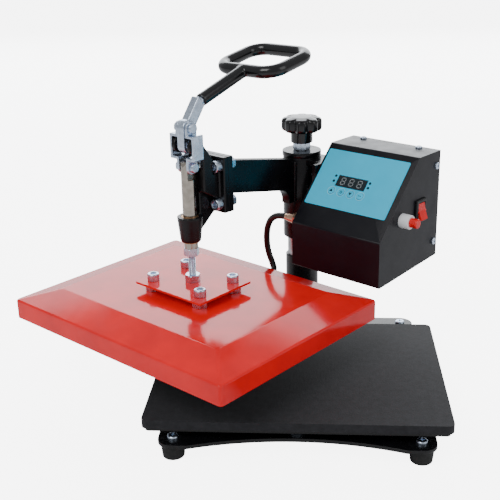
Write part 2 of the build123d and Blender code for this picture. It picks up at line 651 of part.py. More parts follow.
def slope_slab(left, right, top, bottom, low, high, corner=0):
    """Slab on the sloping face between two heights above it."""
    size = (right - left, bottom - top)
    face = RectangleRounded(*size, corner) if corner else Rectangle(*size)
    middle = Pos((left + right) / 2, -(top + bottom) / 2, low)
    return slope_plane() * middle * extrude(face, high - low)


def slope_disc(d, across, down, low, high):
    middle = Pos(across, -down, (low + high) / 2)
    return slope_plane() * middle * Cylinder(d / 2, high - low)


def box_outline(inset=0):
    """Side outline of the box as (y, z) points, moved inwards by an inset."""
    shift = inset * tan(radians(23.4))
    return [(BOX_TOP_Y[1] - inset, BOX_Z[2] - inset), (BOX_TOP_Y[0] + shift, BOX_Z[2] - inset),
            (BOX_FRONT_Y + inset, BOX_Z[1] - shift), (BOX_FRONT_Y + inset, BOX_Z[0] - BOX_DROP + inset),
            (BOX_TOP_Y[1] - inset, BOX_Z[0] + inset)]


def box_holes():
    """Everything that is cut out of the shell's walls."""
    holes = [slope_slab(*WINDOW, -4, 2)]
    holes += [slope_disc(BUTTON_D + 0.6, u, BUTTON_S, -4, 2) for u in BUTTONS.values()]
    holes += [slope_disc(LED_D, u, s, -4, 2) for u, s in LEDS]
    right = (BOX_X[1] - 4, BOX_X[1] + 2)
    holes.append(cross_rod(11, right, *BREAKER))
    half = (ROCKER_BEZEL[0] / 2 - 2, ROCKER_BEZEL[1] / 2 - 2)
    holes.append(block(right, (ROCKER[0] - half[0], ROCKER[0] + half[0]),
                       (ROCKER[1] - half[1], ROCKER[1] + half[1])))
    left = (BOX_X[0] - 2, BOX_X[0] + 4)
    holes.append(cross_rod(12, left, *GLAND))
    holes += [cross_rod(5, left, y, z) for y, z in BRACKET_BOLTS]
    return holes


SIDE_SCREWS = [(41, 191), (41, 101)]
TOP_SCREWS = [61, 137]
SCREW_HOLE_D = 4


def box_shell():
    """Folded steel cover: top, slope, front, bottom and both sides, open at the rear."""
    shell = side_profile(box_outline(), BOX_X)
    edges = [edge for edge in shell.edges().filter_by(Axis.X) if edge.center().Y < BOX_TOP_Y[0] + 1]
    shell = fillet(edges, 2.2)
    inner = box_outline(SHEET_T)
    rear = BOX_TOP_Y[1] + 1
    inner = [(rear, inner[0][1]), *inner[1:4], (rear, inner[4][1])]
    shell -= side_profile(inner, (BOX_X[0] + SHEET_T, BOX_X[1] - SHEET_T))
    for hole in box_holes():
        shell -= hole
    for y, z in SIDE_SCREWS:
        shell -= cross_rod(SCREW_HOLE_D, (BOX_X[0] - 1, BOX_X[1] + 1), y, z)
    for x in TOP_SCREWS:
        shell -= rod(SCREW_HOLE_D, (BOX_Z[2] - 4, BOX_Z[2] + 1), x, 41)
    return shell


def box_rear_panel():
    """Rear panel with flanges folded forward inside the shell."""
    x = (BOX_X[0] + SHEET_T, BOX_X[1] - SHEET_T)
    z = (BOX_Z[0] + SHEET_T, BOX_Z[2] - SHEET_T)
    tray = block(x, (33, BOX_TOP_Y[1]), z)
    cavity = block((x[0] + SHEET_T, x[1] - SHEET_T), (30, BOX_TOP_Y[1] - SHEET_T),
                   (z[0] + SHEET_T, z[1] - SHEET_T))
    tray -= cavity
    half = [side / 2 for side in INLET_SIZE]
    tray -= block((INLET[0] - half[0], INLET[0] + half[0]), (40, 60),
                  (INLET[1] - half[1], INLET[1] + half[1]))
    for y, z_screw in SIDE_SCREWS:
        tray -= cross_rod(SCREW_HOLE_D, (BOX_X[0] - 1, BOX_X[1] + 1), y, z_screw)
    for x_screw in TOP_SCREWS:
        tray -= rod(SCREW_HOLE_D, (BOX_Z[2] - 9, BOX_Z[2] + 1), x_screw, 41)
    slots = [block((60 + 8 * n, 63 + 8 * n), (40, 60), (150, 180)) for n in range(10)]
    for slot in slots:
        tray -= slot
    return tray


def box_screws():
    """Cover screws at the sides and top, and the four bracket screws."""
    side = pan_screw(8, 2.6, SCREW_HOLE_D, 5)
    screws = [Pos(BOX_X[1], y, z) * Rot(0, 90, 0) * side for y, z in SIDE_SCREWS]
    screws += [Pos(BOX_X[0], y, z) * Rot(0, -90, 0) * side for y, z in SIDE_SCREWS]
    screws += [Pos(x, 41, BOX_Z[2]) * side for x in TOP_SCREWS]
    bracket = pan_screw(9.5, 3.4, 5, 9)
    screws += [Pos(BRACKET_PLATE_X[0], y, z) * Rot(0, -90, 0) * bracket for y, z in BRACKET_BOLTS]
    return group(screws)


def panel_overlay():
    sheet = slope_slab(*STICKER, 0, STICKER_T, corner=2)
    sheet -= slope_slab(*WINDOW, -1, 2)
    for u in BUTTONS.values():
        sheet -= slope_disc(BUTTON_D + 0.6, u, BUTTON_S, -1, 2)
    for u, s in LEDS:
        sheet -= slope_disc(LED_D, u, s, -1, 2)
    return sheet


def display_window():
    left, right, top, bottom = WINDOW
    return slope_slab(left, right, top, bottom, -2.5, 0.8)


SEGMENTS = [(0, 4.2, 1), (0, 0, 1), (0, -4.2, 1), (-2.6, 2.1, 0), (2.6, 2.1, 0), (-2.6, -2.1, 0),
            (2.6, -2.1, 0)]                 # across, up, 1 for a level bar


def display_digits():
    """Three seven-segment digits laid on the window."""
    bars = []
    for digit in range(3):
        middle = (WINDOW[0] + WINDOW[1]) / 2 + (digit - 1) * 11.2
        for across, up, level in SEGMENTS:
            half = (2, 0.5) if level else (0.5, 1.5)
            u = middle + across
            s = (WINDOW[2] + WINDOW[3]) / 2 - up
            bars.append(slope_slab(u - half[0], u + half[0], s - half[1], s + half[1], 0.8, 1.0))
    return group(bars)


def circuit_board():
    """Board behind the slope, with its relay, transformer and terminal block."""
    board = slope_slab(12, 92, 16, 86, -11.6, -10)
    relay = slope_slab(20, 39, 66, 82, -27, -11.6)
    transformer = slope_slab(56, 88, 24, 54, -38, -11.6)
    terminals = slope_slab(46, 86, 68, 78, -22, -11.6)
    posts = [slope_disc(6, u, s, -10, -SHEET_T - 0.1) for u in (16, 88) for s in (20, 82)]
    return group([board, relay, transformer, terminals, *posts])


def indicator_leds():
    return group([slope_disc(LED_D, u, s, -4, 0.9) for u, s in LEDS])


def panel_button(u):
    """Round cap with a stem that reaches through the shell."""
    cap = slope_disc(BUTTON_D, u, BUTTON_S, -SHEET_T - 0.5, BUTTON_OUT)
    rim = cap.edges().filter_by(GeomType.CIRCLE).sort_by(Axis((0, 0, 0), SLOPE_N))[-1]
    return fillet(rim, 0.6) + slope_disc(4, u, BUTTON_S, -8, -SHEET_T - 0.5)


BREAKER_OUT = 12
BREAKER_BORE = 11


def breaker_body():
    """Thermal breaker: white collar outside the wall and its body inside."""
    y, z = BREAKER
    collar = cross_rod(16, (BOX_X[1], BOX_X[1] + BREAKER_OUT), y, z)
    collar = fillet(collar.edges().filter_by(GeomType.CIRCLE).sort_by(Axis.X)[-1], 1)
    body = cross_rod(11, (BOX_X[1] - SHEET_T, BOX_X[1]), y, z)
    body += block((BOX_X[1] - 26, BOX_X[1] - SHEET_T), (y - 7, y + 7), (z - 12, z + 12))
    return collar + body - cross_rod(BREAKER_BORE, (BOX_X[1] + 2, BOX_X[1] + 20), y, z)


def reset_button():
    y, z = BREAKER
    out = BOX_X[1] + BREAKER_OUT + 9
    cap = cross_rod(BREAKER_BORE - 0.4, (BOX_X[1] + 5, out), y, z)
    return fillet(cap.edges().filter_by(GeomType.CIRCLE).sort_by(Axis.X)[-1], 1.5)


ROCKER_AXIS_OUT = 2
ROCKER_PIN_D = 3
ROCKER_PIN_HALF = 8.2


def rocker_bezel():
    """Switch bezel and the switch body behind it, with the rocker's pivot holes."""
    y, z = ROCKER
    half = (ROCKER_BEZEL[0] / 2, ROCKER_BEZEL[1] / 2)
    bezel = block((BOX_X[1], BOX_X[1] + 3), (y - half[0], y + half[0]), (z - half[1], z + half[1]))
    bezel = chamfer(bezel.faces().sort_by(Axis.X)[-1].edges(), 1)
    body = block((BOX_X[1] - 18, BOX_X[1]), (y - half[0] + 2, y + half[0] - 2),
                 (z - half[1] + 2, z + half[1] - 2))
    cut = block((BOX_X[1] - 8, BOX_X[1] + 4), (y - half[0] + 3.2, y + half[0] - 3.2),
                (z - half[1] + 3.2, z + half[1] - 3.2))
    reach = ROCKER_PIN_HALF + 0.2
    pivot = along_y(ROCKER_PIN_D + 0.2, (y - reach, y + reach), BOX_X[1] + ROCKER_AXIS_OUT, z)
    return bezel + body - cut - pivot


def power_rocker():
    """Rocker with a shallow V face and a pivot pin, its lower end standing out at rest."""
    y, z = ROCKER
    half_y = ROCKER_BEZEL[0] / 2 - 3.5
    half_z = ROCKER_BEZEL[1] / 2 - 4.3
    x = BOX_X[1]
    outline = [(x - 1, z + half_z), (x + 2.2, z + half_z), (x + 3.4, z + 1), (x + 7, z - half_z),
               (x + 1, z - half_z - 0.3), (x - 4, z - 3), (x - 4, z + 3)]
    face = make_face(Polyline(*[(px, pz) for px, pz in outline], close=True))
    solid = Pos(0, y + half_y, 0) * extrude(Plane.XZ * face, 2 * half_y)
    return solid + along_y(ROCKER_PIN_D, (y - ROCKER_PIN_HALF, y + ROCKER_PIN_HALF), x + ROCKER_AXIS_OUT, z)


def cable_gland():
    """Metal gland: hexagon on the wall, then a tapered nut with the cable's hole."""
    y, z = GLAND
    wall = BOX_X[0]
    flats = Pos(wall, y, z) * Rot(0, -90, 0) * hex_bar(14, (0, 5))
    nose = Pos(wall - 12, y, z) * Rot(0, -90, 0) * Cone(6.5, 4, 14)
    gland = flats + nose + cross_rod(12, (wall, wall + SHEET_T), y, z)
    nut = Pos(wall + SHEET_T, y, z) * Rot(0, 90, 0) * hex_bar(13, (0, 3))
    return gland + nut


def mains_inlet():
    """Three-pin appliance inlet in the rear panel, open to the rear."""
    half = [side / 2 for side in INLET_SIZE]
    rear = BOX_TOP_Y[1]
    flange = block((INLET[0] - 20, INLET[0] + 20), (rear, rear + 2.5), (INLET[1] - 14, INLET[1] + 14))
    body = block((INLET[0] - half[0], INLET[0] + half[0]), (rear - 20, rear),
                 (INLET[1] - half[1], INLET[1] + half[1]))
    socket = block((INLET[0] - 12, INLET[0] + 12), (rear - 16, rear + 4), (INLET[1] - 8, INLET[1] + 8))
    inlet = flange + body - socket
    for across in (-7, 0, 7):
        blade = block((INLET[0] + across - 1, INLET[0] + across + 1), (rear - 16.5, rear - 2),
                      (INLET[1] - 2 + (2 if across == 0 else 0), INLET[1] + 2 + (2 if across == 0 else 0)))
        inlet += blade
    return inlet


def make_box():
    save_on_arm("box_shell", box_shell())
    save_on_arm("box_rear_panel", box_rear_panel())
    save_on_arm("box_screws", box_screws())
    save_on_arm("panel_overlay", panel_overlay())
    save_on_arm("display_window", display_window())
    save_on_arm("display_digits", display_digits())
    save_on_arm("circuit_board", circuit_board())
    save_on_arm("indicator_leds", indicator_leds())
    for name, u in BUTTONS.items():
        save_on_arm(f"button_{name}", panel_button(u))
    save_on_arm("breaker_body", breaker_body())
    save_on_arm("reset_button", reset_button())
    save_on_arm("rocker_bezel", rocker_bezel())
    save_on_arm("power_rocker", power_rocker())
    save_on_arm("cable_gland", cable_gland())
    save_on_arm("mains_inlet", mains_inlet())


# ---- heater cable -------------------------------------------------------------------------------
CABLE_D = 7.6
CABLE_ROUTE = [(22, -57, 128), (11, -57, 128), (-2, -56.5, 121), (-9.5, -55, 107), (-12, -53.5, 90),
               (-11.5, -51, 74), (-7.5, -48.5, 61), (-1.5, -51, 51.5), (-1.5, -63, 51.5)]


def cable_radii(points):
    """Arc radius at each inner point: 0.45 of the shorter run over the tangent of half the turn."""
    radii = []
    for before, here, after in zip(points, points[1:], points[2:]):
        arrive = here - before
        leave = after - here
        half_turn = radians(arrive.get_angle(leave) / 2)
        radii.append(0.45 * min(arrive.length, leave.length) / tan(half_turn))
    return radii


def heater_cable():
    points = [Vector(*point) for point in CABLE_ROUTE]
    radii = cable_radii(points)
    line = FilletPolyline(*points, radius=radii)
    cable = sweep(Plane(line @ 0, z_dir=line % 0) * Circle(CABLE_D / 2), path=line)
    section = 3.14159265 * CABLE_D ** 2 / 4
    print("cable radii", [round(radius, 1) for radius in radii])
    print("cable length", round(line.length, 1), "volume ratio", round(cable.volume / section / line.length, 4))
    return cable


make_base()
make_post()
make_arm()
make_toggle()
make_handle()
make_link()
make_platen()
make_box()
save_on_arm("heater_cable", heater_cable())
print("parts written:", len(os.listdir("parts")))
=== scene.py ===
import json
import math

import bmesh
import bpy
from mathutils import Matrix, Vector, noise


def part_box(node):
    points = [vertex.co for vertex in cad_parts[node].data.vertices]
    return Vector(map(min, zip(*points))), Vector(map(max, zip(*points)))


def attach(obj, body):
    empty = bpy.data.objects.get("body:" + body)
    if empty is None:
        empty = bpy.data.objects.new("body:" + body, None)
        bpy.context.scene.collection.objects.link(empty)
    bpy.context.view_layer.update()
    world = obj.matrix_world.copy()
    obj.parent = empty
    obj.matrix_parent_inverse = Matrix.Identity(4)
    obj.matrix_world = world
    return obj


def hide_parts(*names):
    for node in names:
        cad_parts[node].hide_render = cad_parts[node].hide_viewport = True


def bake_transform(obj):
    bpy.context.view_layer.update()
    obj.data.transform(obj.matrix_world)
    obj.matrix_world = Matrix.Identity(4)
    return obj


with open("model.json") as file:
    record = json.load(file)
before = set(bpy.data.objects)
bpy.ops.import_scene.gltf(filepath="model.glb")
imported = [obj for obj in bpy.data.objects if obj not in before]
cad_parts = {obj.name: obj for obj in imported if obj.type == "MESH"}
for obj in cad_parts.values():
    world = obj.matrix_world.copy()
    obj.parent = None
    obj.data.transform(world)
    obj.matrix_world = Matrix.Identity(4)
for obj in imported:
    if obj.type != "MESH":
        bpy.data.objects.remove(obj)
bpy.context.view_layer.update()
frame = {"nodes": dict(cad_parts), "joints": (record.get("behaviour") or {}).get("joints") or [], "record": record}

# ---- the frame ----------------------------------------------------------------------------------
# Shapes are drawn in millimetres, in the swinging arm's own frame (post axis at the origin, platen
# towards -Y) or in the post's upright frame, and become metres when a piece is placed. Camera,
# lights, modifiers and bump distances are in metres unless a name ends in _MM.
MM = 0.001
JOINTS = {joint["name"]: joint for joint in frame["joints"]}
NODES = frame["nodes"]
POST = Vector((*JOINTS["arm_swing"]["pos_m"][:2], 0))
ACROSS = Vector(JOINTS["handle_turn"]["axis"])
ARM = Matrix.Translation(POST) @ Matrix.Rotation(math.atan2(ACROSS.y, ACROSS.x), 4, "Z")
ARM_MM = ARM @ Matrix.Scale(MM, 4)             # arm's frame in millimetres to the row's in metres
POST_MM = Matrix.Translation(POST) @ Matrix.Scale(MM, 4)
MERGE = 0.00001                                # points closer than this are one point


# ---- camera and cord ----------------------------------------------------------------------------
CAMERA_AT = (0.02215, -0.8858, 0.46832)
CAMERA_PITCH = math.radians(20.5)
CAMERA_YAW = math.radians(4.64)
CAMERA_ROLL = math.radians(1.36)
CAMERA_LENS = 66.05


def make_camera():
    """Camera in front of the press, a little above it, turned slightly to its left."""
    forward = Vector((-math.sin(CAMERA_YAW) * math.cos(CAMERA_PITCH),
                      math.cos(CAMERA_YAW) * math.cos(CAMERA_PITCH), -math.sin(CAMERA_PITCH)))
    level = Vector((math.cos(CAMERA_YAW), math.sin(CAMERA_YAW), 0))
    down = forward.cross(level)
    right = level * math.cos(CAMERA_ROLL) + down * math.sin(CAMERA_ROLL)
    up = level * math.sin(CAMERA_ROLL) - down * math.cos(CAMERA_ROLL)
    data = bpy.data.cameras.new("camera")
    data.lens = CAMERA_LENS
    data.sensor_width = 36
    data.clip_start = 0.02
    data.clip_end = 50
    camera = bpy.data.objects.new("camera", data)
    turn = Matrix((right, up, -forward)).transposed().to_4x4()
    camera.matrix_world = Matrix.Translation(CAMERA_AT) @ turn
    bpy.context.scene.collection.objects.link(camera)
    bpy.context.scene.camera = camera


CABLE_D = 7.6
CABLE_ROUTE = [(22, -57, 128), (11, -57, 128), (-2, -56.5, 121), (-9.5, -55, 107), (-12, -53.5, 90),
               (-11.5, -51, 74), (-7.5, -48.5, 61), (-1.5, -51, 51.5), (-1.5, -63, 51.5)]


def curve_mesh(curve):
    """Mesh of a curve as it is evaluated."""
    graph = bpy.context.evaluated_depsgraph_get()
    return bpy.data.meshes.new_from_object(curve.evaluated_get(graph))


def heater_cable():
    """Cable from the control box's gland to the rear of the hot platen, smooth through its route."""
    data = bpy.data.curves.new("cable_line", "CURVE")
    data.dimensions = "3D"
    data.resolution_u = 16
    data.bevel_resolution = 6
    data.use_fill_caps = True
    spline = data.splines.new("NURBS")
    spline.points.add(len(CABLE_ROUTE) - 1)
    for point, place_mm in zip(spline.points, CABLE_ROUTE):
        point.co = (*(ARM_MM @ Vector(place_mm)), 1)
    spline.order_u = 3
    spline.use_endpoint_u = True
    line = bpy.data.objects.new("cable_line", data)
    bpy.context.scene.collection.objects.link(line)
    centre = [vertex.co.copy() for vertex in curve_mesh(line).vertices]
    data.bevel_depth = CABLE_D / 2 * MM
    bpy.context.view_layer.update()
    mesh = curve_mesh(line)
    bpy.data.objects.remove(line)
    mesh.materials.clear()
    mesh.materials.append(MATERIALS["cable_black"])
    for face in mesh.polygons:
        face.use_smooth = True
    cable = bpy.data.objects.new("cable", mesh)
    bpy.context.scene.collection.objects.link(cable)
    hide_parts("heater_cable")
    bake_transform(cable)


# ---- materials ----------------------------------------------------------------------------------
def new_material(name, color, roughness, metallic=0.0):
    """Principled material and the handles needed to add to it."""
    material = bpy.data.materials.new(name)
    material.use_nodes = True
    tree = material.node_tree
    shader = tree.nodes["Principled BSDF"]
    shader.inputs["Base Color"].default_value = (*color, 1)
    shader.inputs["Roughness"].default_value = roughness
    shader.inputs["Metallic"].default_value = metallic
    return material, tree, shader


def noise_node(tree, scale, detail=2.0, stretch=(1, 1, 1)):
    """Noise over the object's own coordinates; scale is in features per metre."""
    coords = tree.nodes.new("ShaderNodeTexCoord")
    mapping = tree.nodes.new("ShaderNodeMapping")
    mapping.inputs["Scale"].default_value = stretch
    texture = tree.nodes.new("ShaderNodeTexNoise")
    texture.inputs["Scale"].default_value = scale
    texture.inputs["Detail"].default_value = detail
    tree.links.new(coords.outputs["Object"], mapping.inputs["Vector"])
    tree.links.new(mapping.outputs["Vector"], texture.inputs["Vector"])
    return texture.outputs["Fac"]


def spread(tree, value, low, high, socket):
    """Map a 0.3 to 0.7 noise value onto low to high and feed it to a socket."""
    ramp = tree.nodes.new("ShaderNodeMapRange")
    ramp.inputs["From Min"].default_value = 0.3
    ramp.inputs["From Max"].default_value = 0.7
    ramp.inputs["To Min"].default_value = low
    ramp.inputs["To Max"].default_value = high
    tree.links.new(value, ramp.inputs["Value"])
    tree.links.new(ramp.outputs["Result"], socket)


def tint(tree, shader, value, dark, light):
    """Vary the base colour between two colours by a noise value."""
    ramp = tree.nodes.new("ShaderNodeValToRGB")
    ramp.color_ramp.elements[0].position = 0.3
    ramp.color_ramp.elements[0].color = (*dark, 1)
    ramp.color_ramp.elements[1].position = 0.7
    ramp.color_ramp.elements[1].color = (*light, 1)
    tree.links.new(value, ramp.inputs["Fac"])
    tree.links.new(ramp.outputs["Color"], shader.inputs["Base Color"])


def bump(tree, shader, value, strength, distance):
    """Bump from a height value; distance in metres."""
    node = tree.nodes.new("ShaderNodeBump")
    node.inputs["Strength"].default_value = strength
    node.inputs["Distance"].default_value = distance
    tree.links.new(value, node.inputs["Height"])
    tree.links.new(node.outputs["Normal"], shader.inputs["Normal"])


def shades(color, low, high):
    """Darker and lighter shade of a colour, as factors of it."""
    return [low * part for part in color], [min(1, high * part) for part in color]


def paint(name, color, roughness, peel, peel_scale, specular):
    """Sprayed or powder paint: slight shade drift, uneven gloss and orange peel."""
    material, tree, shader = new_material(name, color, roughness)
    tint(tree, shader, noise_node(tree, 25, 3), *shades(color, 0.9, 1.1))
    spread(tree, noise_node(tree, 60, 4), roughness * 0.85, roughness * 1.2, shader.inputs["Roughness"])
    bump(tree, shader, noise_node(tree, peel_scale, 2), peel, 0.0002)
    shader.inputs["Specular IOR Level"].default_value = specular
    return material


def plated(name, color, roughness, grain=(1, 1, 1), grain_scale=900, strength=0.12):
    """Bare or plated metal with fine grain and clouded gloss."""
    material, tree, shader = new_material(name, color, roughness, 1.0)
    tint(tree, shader, noise_node(tree, 180, 3), *shades(color, 0.82, 1.12))
    spread(tree, noise_node(tree, 400, 4), roughness * 0.7, roughness * 1.4, shader.inputs["Roughness"])
    bump(tree, shader, noise_node(tree, grain_scale, 3, grain), strength, 0.0001)
    return material


def moulded(name, color, roughness, scale=1500, strength=0.08, soft=0.0):
    """Moulded plastic or rubber with a fine surface."""
    material, tree, shader = new_material(name, color, roughness)
    tint(tree, shader, noise_node(tree, 90, 3), *shades(color, 0.88, 1.12))
    gloss = shader.inputs["Roughness"]
    spread(tree, noise_node(tree, 250, 3), roughness * 0.85, roughness * 1.15, gloss)
    bump(tree, shader, noise_node(tree, scale, 2), strength, 0.0001)
    shader.inputs["Subsurface Weight"].default_value = soft
    shader.inputs["Subsurface Radius"].default_value = (0.001, 0.001, 0.001)
    return material


def silicone():
    """Charcoal silicone foam: matt, with fine pores and faint mottling."""
    material, tree, shader = new_material("silicone", (0.014, 0.014, 0.017), 0.75)
    tint(tree, shader, noise_node(tree, 140, 5), (0.010, 0.010, 0.012), (0.019, 0.019, 0.023))
    cells = tree.nodes.new("ShaderNodeTexVoronoi")
    cells.inputs["Scale"].default_value = 900
    coords = tree.nodes.new("ShaderNodeTexCoord")
    tree.links.new(coords.outputs["Object"], cells.inputs["Vector"])
    bump(tree, shader, cells.outputs["Distance"], 0.35, 0.0003)
    shader.inputs["Specular IOR Level"].default_value = 0.3
    shader.inputs["Sheen Weight"].default_value = 0.1
    shader.inputs["Sheen Roughness"].default_value = 0.5
    return material


def heat_coating():
    """Dark non-stick coating with fine speckle."""
    material, tree, shader = new_material("coated_aluminium", (0.03, 0.03, 0.032), 0.4, 0.2)
    tint(tree, shader, noise_node(tree, 1200, 4), (0.018, 0.018, 0.02), (0.06, 0.06, 0.064))
    bump(tree, shader, noise_node(tree, 900, 3), 0.15, 0.0001)
    return material


def printed_film():
    """Polyester film of the control panel: flat teal print under a satin face."""
    material, tree, shader = new_material("overlay_teal", (0.012, 0.57, 0.86), 0.32)
    tint(tree, shader, noise_node(tree, 45, 3), (0.010, 0.55, 0.835), (0.014, 0.59, 0.885))
    bump(tree, shader, noise_node(tree, 1600, 2), 0.05, 0.0001)
    shader.inputs["Coat Weight"].default_value = 0.15
    shader.inputs["Coat Roughness"].default_value = 0.2
    return material


def woven_board():
    """Woven glass-fibre board."""
    material, tree, shader = new_material("glass_fibre", (0.62, 0.58, 0.47), 0.85)
    weave = tree.nodes.new("ShaderNodeTexWave")
    weave.inputs["Scale"].default_value = 500
    coords = tree.nodes.new("ShaderNodeTexCoord")
    tree.links.new(coords.outputs["Object"], weave.inputs["Vector"])
    bump(tree, shader, weave.outputs["Fac"], 0.5, 0.0003)
    tint(tree, shader, noise_node(tree, 300, 3), (0.52, 0.48, 0.38), (0.68, 0.64, 0.54))
    return material


def make_materials():
    """One material for each slot, and two inks for the panel's prints."""
    return {
        "base_paint": paint("base_paint", (0.004, 0.004, 0.005), 0.26, 0.12, 500, 0.4),
        "gloss_black": paint("gloss_black", (0.003, 0.003, 0.004), 0.26, 0.10, 450, 0.3),
        "box_paint": paint("box_paint", (0.003, 0.003, 0.006), 0.34, 0.22, 1100, 0.28),
        "red_paint": paint("red_paint", (0.84, 0.007, 0.010), 0.10, 0.04, 160, 0.33),
        "zinc_steel": plated("zinc_steel", (0.60, 0.69, 0.82), 0.26),
        "ground_steel": plated("ground_steel", (0.40, 0.40, 0.41), 0.3, (1, 1, 8), 700),
        # the warm tan tint of the chrome's base colour is a painted reflection of brown surroundings, not the
        # chrome's own colour
        "chrome_rod": plated("chrome_rod", (0.40, 0.36, 0.31), 0.14, (1, 1, 6), 500, 0.04),
        "nickel_brass": plated("nickel_brass", (0.62, 0.40, 0.28), 0.3),
        "bronze": plated("bronze", (0.5, 0.3, 0.16), 0.4),
        "knob_plastic": moulded("knob_plastic", (0.004, 0.004, 0.005), 0.14, 300, 0.03),
        "grip_vinyl": moulded("grip_vinyl", (0.004, 0.004, 0.005), 0.17, 220, 0.06),
        "foot_rubber": moulded("foot_rubber", (0.006, 0.006, 0.006), 0.65, 1400, 0.25),
        "switch_black": moulded("switch_black", (0.006, 0.006, 0.007), 0.45),
        "cable_black": moulded("cable_black", (0.005, 0.005, 0.006), 0.38, 900, 0.1),
        "white_plastic": moulded("white_plastic", (0.93, 0.94, 0.98), 0.3, 900, 0.05, 0.15),
        "red_plastic": moulded("red_plastic", (0.78, 0.008, 0.006), 0.2, 900, 0.04, 0.15),
        "key_teal": moulded("key_teal", (0.014, 0.58, 0.87), 0.35, 1200, 0.05),
        "led_dark": moulded("led_dark", (0.001, 0.018, 0.032), 0.2, 1200, 0.03),
        "digit_grey": moulded("digit_grey", (0.22, 0.25, 0.26), 0.5, 1200, 0.03),
        "smoked_glass": moulded("smoked_glass", (0.001, 0.010, 0.016), 0.1, 400, 0.02),
        "board_green": moulded("board_green", (0.012, 0.12, 0.05), 0.35),
        "print_dark": moulded("print_dark", (0.001, 0.022, 0.04), 0.4, 1200, 0.03),
        "print_light": moulded("print_light", (0.22, 0.72, 0.95), 0.4, 1200, 0.03),
        "silicone": silicone(),
        "coated_aluminium": heat_coating(),
        "overlay_teal": printed_film(),
        "glass_fibre": woven_board(),
    }


def dress_nodes():
    """Give every CAD node the material of its slot in the record."""
    for part in frame["record"]["subparts"]:
        node = NODES[part["node"]]
        node.data.materials.clear()
        node.data.materials.append(MATERIALS[part["material_slot"]])


# ---- mesh helpers -------------------------------------------------------------------------------
def place(name, mesh, body, slot, matrix):
    """Object from a mesh drawn in millimetres, riding on a body."""
    mesh.transform(matrix)
    mesh.materials.clear()
    mesh.materials.append(MATERIALS[slot])
    for face in mesh.polygons:
        face.use_smooth = True
    piece = bpy.data.objects.new(name, mesh)
    bpy.context.scene.collection.objects.link(piece)
    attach(piece, body)
    return piece


def lathe_mesh(name, profile, steps=48, ripple=None):
    """Closed turned mesh about Z from (radius, height) points that start and end on the axis."""
    grid = bmesh.new()
    rings = []
    for radius, height in profile:
        if radius < 1e-6:
            rings.append([grid.verts.new((0, 0, height))])
            continue
        ring = []
        for step in range(steps):
            angle = 2 * math.pi * step / steps
            reach = radius * (ripple(angle, radius, height) if ripple else 1)
            ring.append(grid.verts.new((reach * math.cos(angle), reach * math.sin(angle), height)))
        rings.append(ring)
    for lower, upper in zip(rings, rings[1:]):
        for step in range(steps):
            after = (step + 1) % steps
            if len(lower) == 1:
                grid.faces.new((lower[0], upper[step], upper[after]))
            elif len(upper) == 1:
                grid.faces.new((lower[step], upper[0], lower[after]))
            else:
                grid.faces.new((lower[step], upper[step], upper[after], lower[after]))
    bmesh.ops.recalc_face_normals(grid, faces=grid.faces)
    mesh = bpy.data.meshes.new(name)
    grid.to_mesh(mesh)
    grid.free()
    return mesh


BEVEL_ANGLE = math.radians(35)


def bevel_nodes(names, width):
    """Round the edges of CAD nodes with modifiers, leaving their own meshes as they are."""
    for name in names:
        node = NODES[name]
        weld = node.modifiers.new("weld", "WELD")
        weld.merge_threshold = MERGE
        edge = node.modifiers.new("bevel", "BEVEL")
        edge.width = width * MM
        edge.segments = 2
        edge.limit_method = "ANGLE"
        edge.angle_limit = BEVEL_ANGLE
        edge.use_clamp_overlap = True
        edge.harden_normals = True


MATERIALS = make_materials()
make_camera()
heater_cable()
dress_nodes()


def arm_box(node):
    """Lowest and highest corner of a CAD node in the arm's frame, in millimetres."""
    back = ARM_MM.inverted()
    points = [back @ vertex.co for vertex in NODES[node].data.vertices]
    low = Vector([min(point[axis] for point in points) for axis in range(3)])
    high = Vector([max(point[axis] for point in points) for axis in range(3)])
    return low, high


def rounded(points, radii, steps=5):
    """Open outline of (a, b) points with its inner corners rounded to the given radii."""
    out = [Vector(points[0])]
    for before, here, after, radius in zip(points, points[1:], points[2:], radii):
        here = Vector(here)
        to_before = (Vector(before) - here).normalized()
        to_after = (Vector(after) - here).normalized()
        half = to_before.angle(to_after) / 2
        if radius <= 0 or half > math.radians(89.5):
            out.append(here)
            continue
        reach = radius / math.tan(half)
        centre = here + (to_before + to_after).normalized() * radius / math.sin(half)
        first = here + to_before * reach - centre
        sweep = first.angle_signed(here + to_after * reach - centre)
        for step in range(steps + 1):
            turn = Matrix.Rotation(-sweep * step / steps, 2)
            out.append(centre + turn @ first)
    out.append(Vector(points[-1]))
    return out


def loft_mesh(name, loops):
    """Closed mesh through loops of equal point counts, capped at both ends."""
    grid = bmesh.new()
    rows = [[grid.verts.new(point) for point in loop] for loop in loops]
    for lower, upper in zip(rows, rows[1:]):
        for index in range(len(lower)):
            after = (index + 1) % len(lower)
            grid.faces.new((lower[index], lower[after], upper[after], upper[index]))
    grid.faces.new(list(reversed(rows[0])))
    grid.faces.new(rows[-1])
    bmesh.ops.recalc_face_normals(grid, faces=grid.faces)
    mesh = bpy.data.meshes.new(name)
    grid.to_mesh(mesh)
    grid.free()
    return mesh


def flat_normals(piece):
    """Keep the flats of a smooth-shaded piece flat."""
    piece.modifiers.new("normals", "WEIGHTED_NORMAL").keep_sharp = True


# ---- upper platen -------------------------------------------------------------------------------
COVER_PANEL = (240, 176)        # flat top inside the slopes
COVER_RISE = 11.5               # height of the slopes
COVER_FOLD_R = 2.5
COVER_CREASE_R = 7
COVER_CORNER_R = 4
SHEET_T = 1.5
HEM = 0.4                       # extra row of points on the skirt's lower edge, which keeps it crisp


